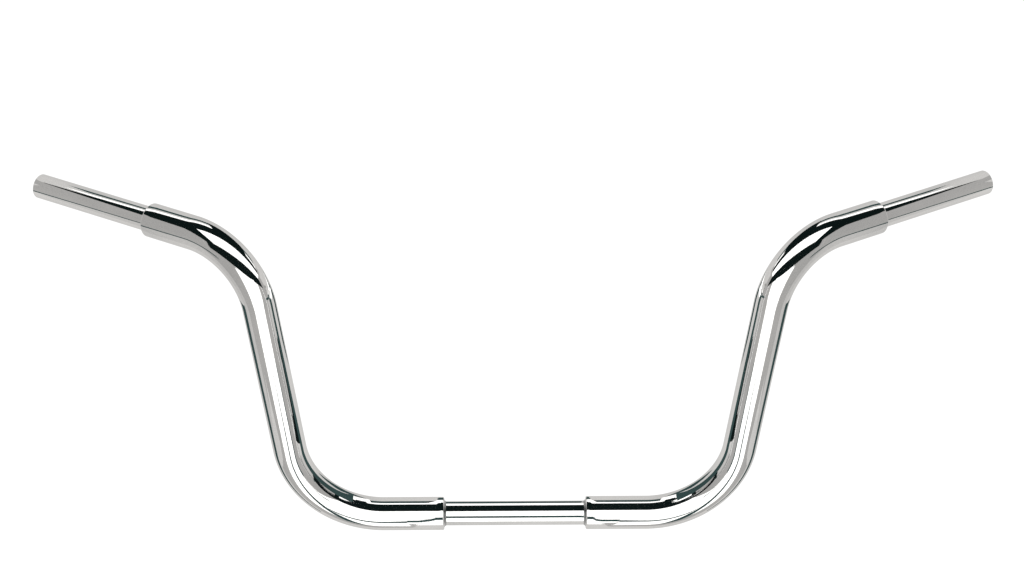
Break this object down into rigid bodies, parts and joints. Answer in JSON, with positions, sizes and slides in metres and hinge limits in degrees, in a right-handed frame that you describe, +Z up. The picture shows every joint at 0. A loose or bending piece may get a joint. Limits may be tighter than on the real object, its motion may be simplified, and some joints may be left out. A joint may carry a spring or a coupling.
{
  "type": "motorcycle handlebar",
  "caption": "Wide stepped motorcycle handlebar in chromed steel tube: thin clamp section, fat swept-up risers with two bends each, thin pulled-back grip ends.",
  "frame": {"origin": "middle of the clamp tube, on its axis", "axes": "+X along the clamp tube, +Y back towards the rider, +Z up"},
  "size_m": [0.9938, 0.169, 0.3562],
  "materials": {
    "chrome": "bright polished chrome plate",
    "raw_steel": "bare turned steel, dull"
  },
  "bodies": {
    "root": {"clamp_tube": "chrome", "left_riser_tube": "chrome", "left_grip_tube": "chrome", "left_clamp_sleeve": "raw_steel", "left_grip_sleeve": "raw_steel", "left_clamp_weld": "chrome", "left_grip_weld": "chrome", "right_riser_tube": "chrome", "right_grip_tube": "chrome", "right_clamp_sleeve": "raw_steel", "right_grip_sleeve": "raw_steel", "right_clamp_weld": "chrome", "right_grip_weld": "chrome"}
  },
  "joints": []
}
